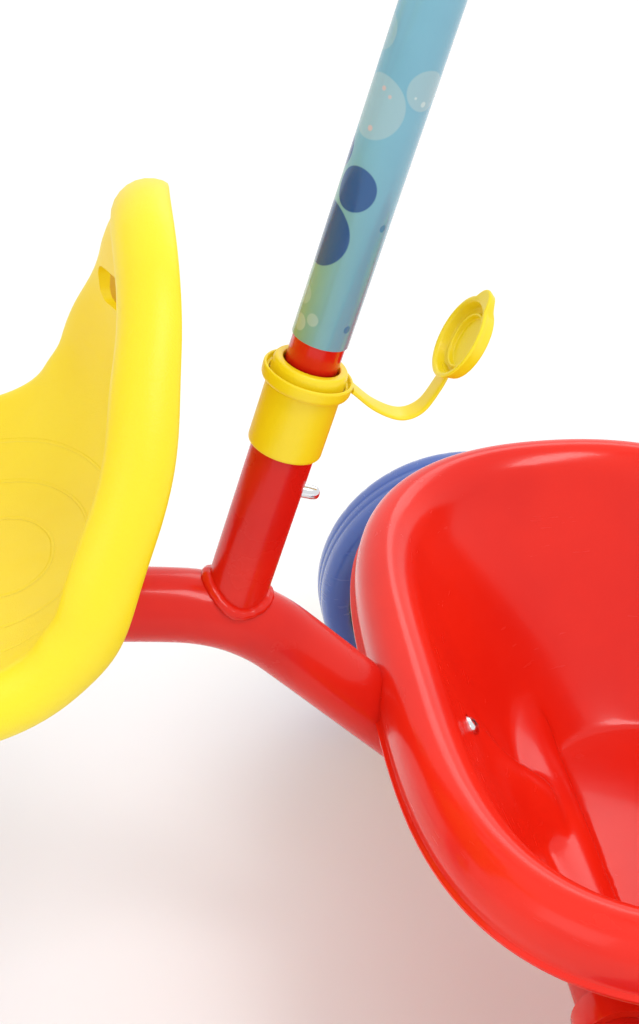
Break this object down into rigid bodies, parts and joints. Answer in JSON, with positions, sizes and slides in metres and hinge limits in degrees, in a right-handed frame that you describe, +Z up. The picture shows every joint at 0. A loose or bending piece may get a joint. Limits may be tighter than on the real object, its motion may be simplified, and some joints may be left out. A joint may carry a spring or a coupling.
{
  "type": "tricycle",
  "caption": "Children's tricycle with bucket seat, rear storage tub, steered pedal front wheel and a removable parent push bar in a socket.",
  "frame": {"origin": "on the ground under the middle of the tricycle's bounding box", "axes": "+X forwards, +Y to the rider's left, +Z up"},
  "size_m": [0.7812, 0.5346, 0.9728],
  "materials": {
    "frame_paint": "gloss red paint",
    "red_plastic": "gloss red moulding",
    "yellow_plastic": "satin yellow moulding",
    "blue_plastic": "gloss blue moulding",
    "printed_sleeve": "pale blue printed film with bubbles and dots",
    "bright_steel": "polished zinc or chrome plate",
    "dark_plastic": "satin dark grey moulding"
  },
  "bodies": {
    "frame": {"main_tube": "frame_paint", "head_tube": "frame_paint", "rear_axle_tube": "frame_paint", "push_bar_socket": "frame_paint", "axle_bush_left": "dark_plastic", "axle_bush_right": "dark_plastic", "rear_axle_rod": "bright_steel", "hub_cap_left": "blue_plastic", "hub_cap_right": "blue_plastic", "seat_shell": "yellow_plastic", "seat_bracket": "frame_paint", "seat_bolt_left": "bright_steel", "seat_bolt_right": "bright_steel", "seat_nut_left": "bright_steel", "seat_nut_right": "bright_steel", "storage_tub": "red_plastic", "tub_screw": "bright_steel", "axle_clip_left": "red_plastic", "axle_clip_right": "red_plastic", "socket_collar": "yellow_plastic", "cap_ring": "yellow_plastic", "head_bush_lower": "dark_plastic", "head_bush_upper": "dark_plastic"},
    "push_bar": {"push_bar": "frame_paint", "push_bar_sleeve": "printed_sleeve", "handle_tee": "red_plastic", "handle_bar": "frame_paint", "handle_grip_left": "blue_plastic", "handle_grip_right": "blue_plastic", "handle_screw": "bright_steel"},
    "spring_button": {"spring_button": "bright_steel"},
    "collar_cap": {"cap_strap": "yellow_plastic", "socket_cap": "yellow_plastic"},
    "steering": {"fork": "frame_paint", "steerer": "bright_steel", "crown_race": "bright_steel", "stem": "yellow_plastic", "stem_bolt": "bright_steel", "handlebar": "frame_paint", "grip_left": "yellow_plastic", "grip_right": "yellow_plastic", "fork_bush_left": "dark_plastic", "fork_bush_right": "dark_plastic"},
    "front_wheel": {"front_tyre": "blue_plastic", "front_hub": "yellow_plastic", "crank_rod": "bright_steel", "pedal_nut_left": "bright_steel", "pedal_nut_right": "bright_steel"},
    "pedal_left": {"pedal_left": "blue_plastic"},
    "pedal_right": {"pedal_right": "blue_plastic"},
    "rear_wheel_left": {"rear_tyre_left": "blue_plastic", "rear_hub_left": "yellow_plastic"},
    "rear_wheel_right": {"rear_tyre_right": "blue_plastic", "rear_hub_right": "yellow_plastic"}
  },
  "joints": [
    {"name": "push_bar_slide", "type": "slide", "parent": "frame", "child": "push_bar", "axis": [-0.2957, 0, 0.9553], "range_m": [0, 0.092]},
    {"name": "button_press", "type": "slide", "parent": "frame", "child": "spring_button", "axis": [0.9553, 0, 0.2957], "range_m": [0, 0.004], "stiffness_N_per_m": 400},
    {"name": "cap_strap_bend", "type": "hinge", "parent": "frame", "child": "collar_cap", "pos_m": [-0.11625, 0, 0.3619], "axis": [0, 1, 0], "range_deg": [-45, 25], "stiffness_Nm_per_rad": 0.1},
    {"name": "steering_turn", "type": "hinge", "parent": "frame", "child": "steering", "pos_m": [0.24906, 0, 0.11203], "axis": [-0.319, 0, 0.9478], "range_deg": [-40, 40]},
    {"name": "front_wheel_spin", "type": "hinge", "parent": "steering", "child": "front_wheel", "pos_m": [0.27275, 0, 0.12], "axis": [0, 1, 0], "continuous": true},
    {"name": "pedal_left_spin", "type": "hinge", "parent": "front_wheel", "child": "pedal_left", "pos_m": [0.34475, 0.113, 0.12], "axis": [0, 1, 0], "continuous": true},
    {"name": "pedal_right_spin", "type": "hinge", "parent": "front_wheel", "child": "pedal_right", "pos_m": [0.20075, -0.113, 0.12], "axis": [0, 1, 0], "continuous": true},
    {"name": "rear_wheel_left_spin", "type": "hinge", "parent": "frame", "child": "rear_wheel_left", "pos_m": [-0.22225, 0.232, 0.09], "axis": [0, 1, 0], "continuous": true},
    {"name": "rear_wheel_right_spin", "type": "hinge", "parent": "frame", "child": "rear_wheel_right", "pos_m": [-0.22225, -0.232, 0.09], "axis": [0, 1, 0], "continuous": true}
  ]
}
